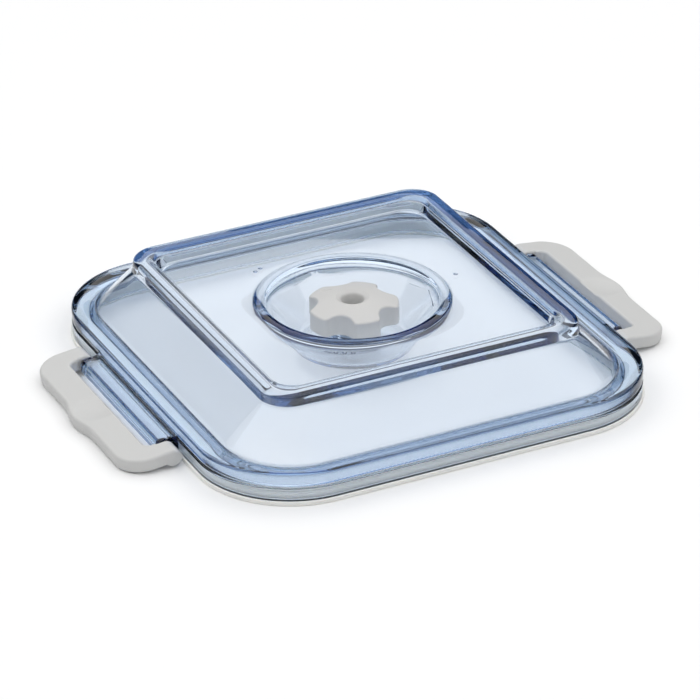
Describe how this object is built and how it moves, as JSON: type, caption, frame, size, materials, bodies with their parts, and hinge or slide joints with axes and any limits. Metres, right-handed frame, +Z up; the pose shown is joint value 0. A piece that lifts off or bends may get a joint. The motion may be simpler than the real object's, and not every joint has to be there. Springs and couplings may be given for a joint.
{
  "type": "vacuum food container lid",
  "caption": "Clear square lid of a vacuum food container with a turning pump valve in a round well, hinged side latches and a soft rim gasket.",
  "frame": {"origin": "on the table below the middle of the lid, at the bottom of the gasket", "axes": "+X towards one latch handle, +Y towards the back edge, +Z up through the valve"},
  "size_m": [0.2862, 0.231, 0.0391],
  "materials": {
    "clear_plastic": "clear, faintly blue plastic, polished",
    "white_gasket": "soft matt white silicone",
    "handle_grey": "light warm grey, fine matt grain",
    "knob_grey": "light warm grey, fine matt grain",
    "stem_plastic": "smooth white plastic",
    "seal_rubber": "black rubber",
    "washer_plastic": "slippery natural plastic",
    "clip_steel": "spring steel",
    "plug_plastic": "smooth white plastic",
    "umbrella_rubber": "soft translucent silicone"
  },
  "bodies": {
    "lid": {"lid_shell": "clear_plastic", "rim_gasket": "white_gasket", "thrust_washer": "washer_plastic"},
    "left_latch": {"latch_left": "handle_grey"},
    "right_latch": {"latch_right": "handle_grey"},
    "knob": {"valve_knob": "knob_grey", "valve_stem": "stem_plastic", "stem_seal_lower": "seal_rubber", "stem_seal_upper": "seal_rubber", "retaining_clip": "clip_steel"},
    "plug": {"lifting_plug": "plug_plastic", "plug_seal": "seal_rubber", "check_valve": "umbrella_rubber"}
  },
  "joints": [
    {"name": "left_latch_hinge", "type": "hinge", "parent": "lid", "child": "left_latch", "pos_m": [-0.117, 0, 0.0052], "axis": [0, 1, 0], "range_deg": [-80, 95]},
    {"name": "right_latch_hinge", "type": "hinge", "parent": "lid", "child": "right_latch", "pos_m": [0.117, 0, 0.0052], "axis": [0, -1, 0], "range_deg": [-80, 95]},
    {"name": "knob_turn", "type": "hinge", "parent": "lid", "child": "knob", "pos_m": [0, 0, 0.0213], "axis": [0, 0, 1], "range_deg": [-120, 120]},
    {"name": "plug_lift", "type": "slide", "parent": "lid", "child": "plug", "axis": [0, 0, 1], "range_m": [-0.001, 0.001]}
  ],
  "couplings": [
    {"joint": "plug_lift", "follows": "knob_turn", "m_per_rad": -0.000477}
  ]
}
